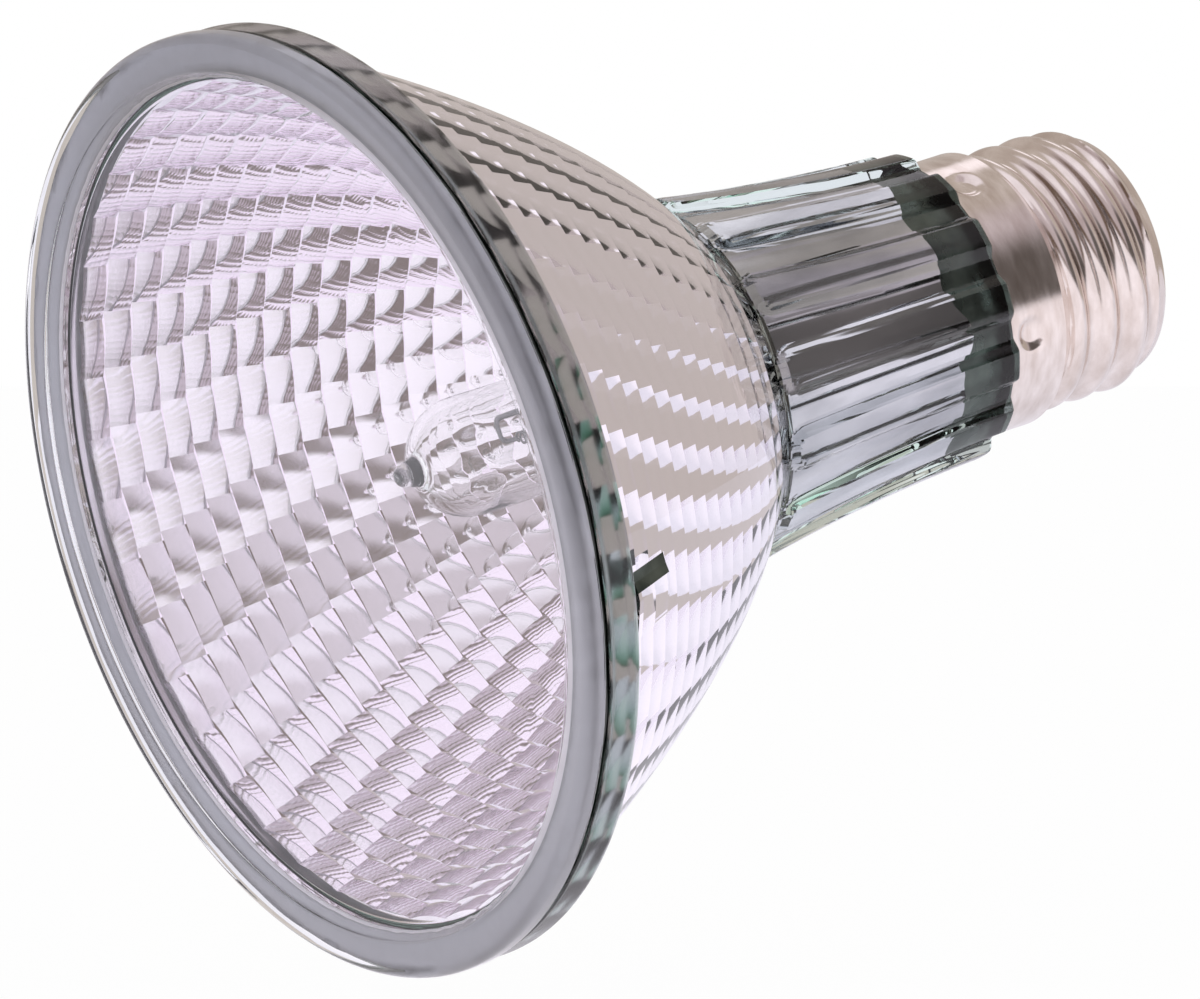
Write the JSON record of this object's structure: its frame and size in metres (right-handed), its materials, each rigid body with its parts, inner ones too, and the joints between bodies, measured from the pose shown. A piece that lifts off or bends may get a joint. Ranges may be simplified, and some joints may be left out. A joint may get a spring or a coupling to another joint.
{
  "type": "halogen reflector lamp",
  "caption": "Halogen reflector lamp: recessed clear front glass, faceted mirrored bowl, ribbed glass neck and a screw cap; throws a beam from a small capsule.",
  "frame": {"origin": "tip of the solder on the centre contact, on the lamp's axis", "axes": "+Z along the lamp's axis from the cap to the front glass; the side the picture shows faces -Y"},
  "size_m": [0.095, 0.095, 0.099],
  "materials": {
    "clear_glass": "clear pressed glass, polished",
    "seal": "dark heat-proof cement line",
    "mirrored_glass": "pressed glass with a bright metal coat inside",
    "quartz": "clear fused quartz",
    "tungsten": "drawn tungsten, dull grey",
    "foil": "rolled molybdenum foil",
    "lead_wire": "bare nickel wire",
    "spring_steel": "bright spring steel sheet",
    "nickel": "bright nickel plate on thin sheet",
    "black_glass": "black vitreous insulator, glossy",
    "brass": "stamped brass, bright",
    "solder": "soft solder, slightly dull"
  },
  "bodies": {
    "root": {"front_lens": "clear_glass", "lens_seal": "seal", "reflector": "mirrored_glass", "capsule_bulb": "quartz", "filament": "tungsten", "inner_lead_left": "tungsten", "inner_lead_right": "tungsten", "foil_left": "foil", "foil_right": "foil", "outer_lead_left": "lead_wire", "outer_lead_right": "lead_wire", "capsule_clip": "spring_steel", "shell_wire": "lead_wire", "contact_wire": "lead_wire", "cap_shell": "nickel", "cap_insulator": "black_glass", "centre_contact": "brass", "contact_solder": "solder"}
  },
  "joints": []
}
